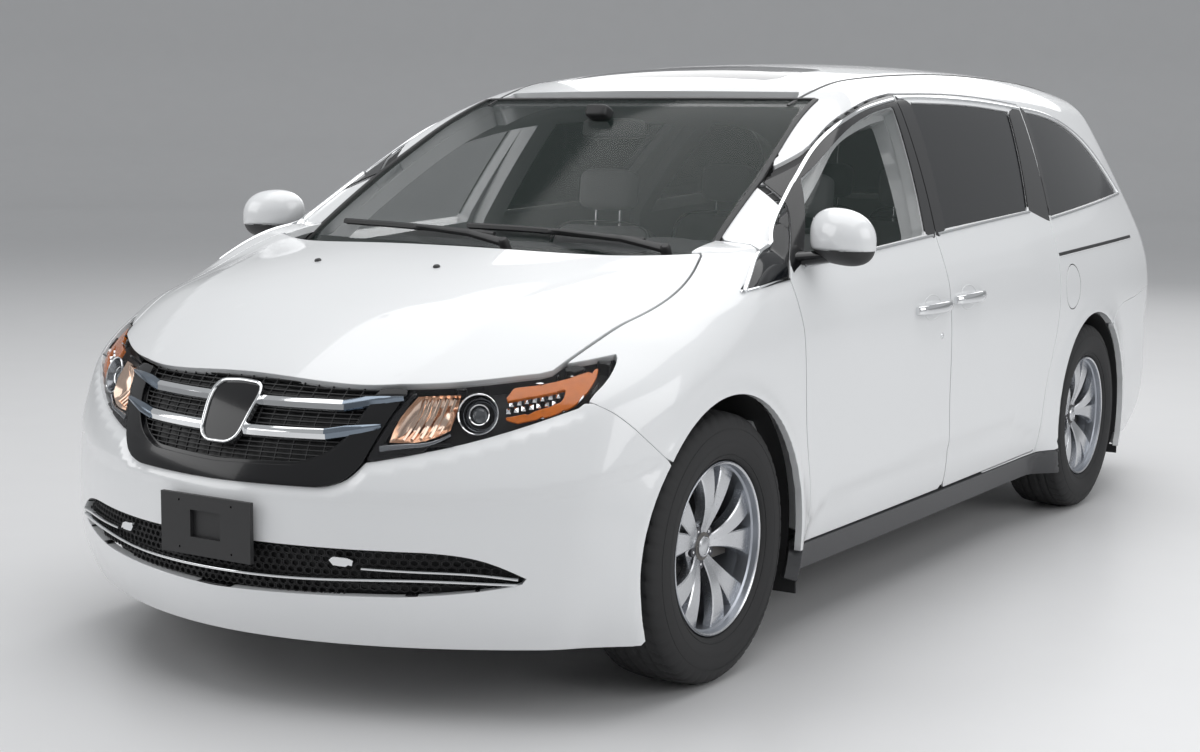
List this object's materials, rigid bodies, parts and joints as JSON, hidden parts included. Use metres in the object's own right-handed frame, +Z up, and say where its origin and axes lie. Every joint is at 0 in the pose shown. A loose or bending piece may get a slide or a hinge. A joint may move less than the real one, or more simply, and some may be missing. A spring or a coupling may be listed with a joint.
{
  "type": "minivan",
  "caption": "White family minivan with opening hood, front doors, tailgate and fuel flap, steered front wheels and a hollow glazed cabin.",
  "frame": {"origin": "centre of the box round the vehicle, on the ground plane", "axes": "+X to the vehicle's left, +Y to its rear, +Z up"},
  "size_m": [2.339, 5.1527, 1.7368],
  "materials": {
    "body_white": "gloss clear-coated white",
    "trim_black": "fine grain",
    "dash_grey": "soft grain",
    "engine_metal": "rough cast",
    "exhaust_steel": "dull",
    "body_primer": "satin grey sealer",
    "side_glass": "smooth, light green tint",
    "seat_fabric": "woven cloth",
    "chassis_black": "satin black",
    "tank_plastic": "matt",
    "chrome_trim": "bright polished",
    "lamp_glass": "clear polished lens",
    "cast_metal": "rough cast",
    "flap_rubber": "matt",
    "alloy": "silver lacquer, satin",
    "dark_glass": "smooth, dark privacy tint",
    "wheel_leather": "satin grain",
    "lamp_red": "gloss red lens",
    "tyre": "matt with moulded tread",
    "grille_black": "gloss black",
    "liner_black": "coarse matt",
    "windshield_glass": "smooth, light green tint",
    "wiper_black": "matt"
  },
  "bodies": {
    "body": {"body_side_left": "body_white", "body_side_right": "body_white", "cowl": "trim_black", "dashboard": "dash_grey", "engine_block": "engine_metal", "exhaust": "exhaust_steel", "fender_left": "body_white", "fender_right": "body_white", "floor_pan": "body_primer", "front_bumper": "body_white", "front_seats": "seat_fabric", "front_structure": "body_primer", "front_suspension": "chassis_black", "fuel_tank": "tank_plastic", "grille_bars": "chrome_trim", "headlamps": "lamp_glass", "inner_mirror": "trim_black", "lower_grille": "trim_black", "middle_seats": "seat_fabric", "mud_flaps": "flap_rubber", "plate_bracket": "trim_black", "rear_axle": "chassis_black", "rear_bench": "seat_fabric", "rear_bumper": "body_white", "rear_structure": "body_primer", "roof_panel": "body_white", "side_windows": "dark_glass", "sill_cladding": "body_white", "sliding_door_left": "body_white", "sliding_door_right": "body_white", "steering_wheel": "wheel_leather", "sunroof_glass": "dark_glass", "tail_lamps": "lamp_red", "upper_grille": "grille_black", "wheel_liners": "liner_black", "windshield": "windshield_glass", "wipers": "wiper_black"},
    "hood": {"hood": "body_white"},
    "door_left": {"front_door_left": "body_white", "front_glass_left": "side_glass", "mirror_left": "body_white"},
    "door_right": {"front_door_right": "body_white", "front_glass_right": "side_glass", "mirror_right": "body_white"},
    "tailgate": {"tailgate": "body_white", "tailgate_glass": "dark_glass"},
    "fuel_flap": {"fuel_flap": "body_white"},
    "knuckle_left": {"knuckle_left": "cast_metal"},
    "knuckle_right": {"knuckle_right": "cast_metal"},
    "wheel_front_left": {"tyre_front_left": "tyre", "rim_front_left": "alloy"},
    "wheel_front_right": {"tyre_front_right": "tyre", "rim_front_right": "alloy"},
    "wheel_rear_left": {"tyre_rear_left": "tyre", "rim_rear_left": "alloy"},
    "wheel_rear_right": {"tyre_rear_right": "tyre", "rim_rear_right": "alloy"}
  },
  "joints": [
    {"name": "hood_hinge", "type": "hinge", "parent": "body", "child": "hood", "pos_m": [0, -1.4195, 1.124], "axis": [-1, 0, 0], "range_deg": [0, 44]},
    {"name": "door_left_hinge", "type": "hinge", "parent": "body", "child": "door_left", "pos_m": [1.003, -1.2465, 0.7], "axis": [0, 0, -1], "range_deg": [0, 65]},
    {"name": "door_right_hinge", "type": "hinge", "parent": "body", "child": "door_right", "pos_m": [-1.003, -1.2465, 0.7], "axis": [0, 0, 1], "range_deg": [0, 65]},
    {"name": "tailgate_hinge", "type": "hinge", "parent": "body", "child": "tailgate", "pos_m": [0, 2.2407, 1.605], "axis": [1, 0, 0], "range_deg": [0, 80]},
    {"name": "fuel_flap_hinge", "type": "hinge", "parent": "body", "child": "fuel_flap", "pos_m": [1, 0.9805, 0.902], "axis": [0, 0, -1], "range_deg": [0, 90]},
    {"name": "steer_left", "type": "hinge", "parent": "body", "child": "knuckle_left", "pos_m": [0.775, -1.6515, 0.3685], "axis": [0, 0, 1], "range_deg": [-35, 35]},
    {"name": "steer_right", "type": "hinge", "parent": "body", "child": "knuckle_right", "pos_m": [-0.775, -1.6515, 0.3685], "axis": [0, 0, 1], "range_deg": [-35, 35]},
    {"name": "roll_front_left", "type": "hinge", "parent": "knuckle_left", "child": "wheel_front_left", "pos_m": [0.865, -1.6515, 0.3685], "axis": [1, 0, 0], "continuous": true},
    {"name": "roll_front_right", "type": "hinge", "parent": "knuckle_right", "child": "wheel_front_right", "pos_m": [-0.865, -1.6515, 0.3685], "axis": [1, 0, 0], "continuous": true},
    {"name": "roll_rear_left", "type": "hinge", "parent": "body", "child": "wheel_rear_left", "pos_m": [0.865, 1.3485, 0.3685], "axis": [1, 0, 0], "continuous": true},
    {"name": "roll_rear_right", "type": "hinge", "parent": "body", "child": "wheel_rear_right", "pos_m": [-0.865, 1.3485, 0.3685], "axis": [1, 0, 0], "continuous": true}
  ],
  "couplings": [
    {"joint": "steer_right", "follows": "steer_left", "ratio": 1}
  ]
}
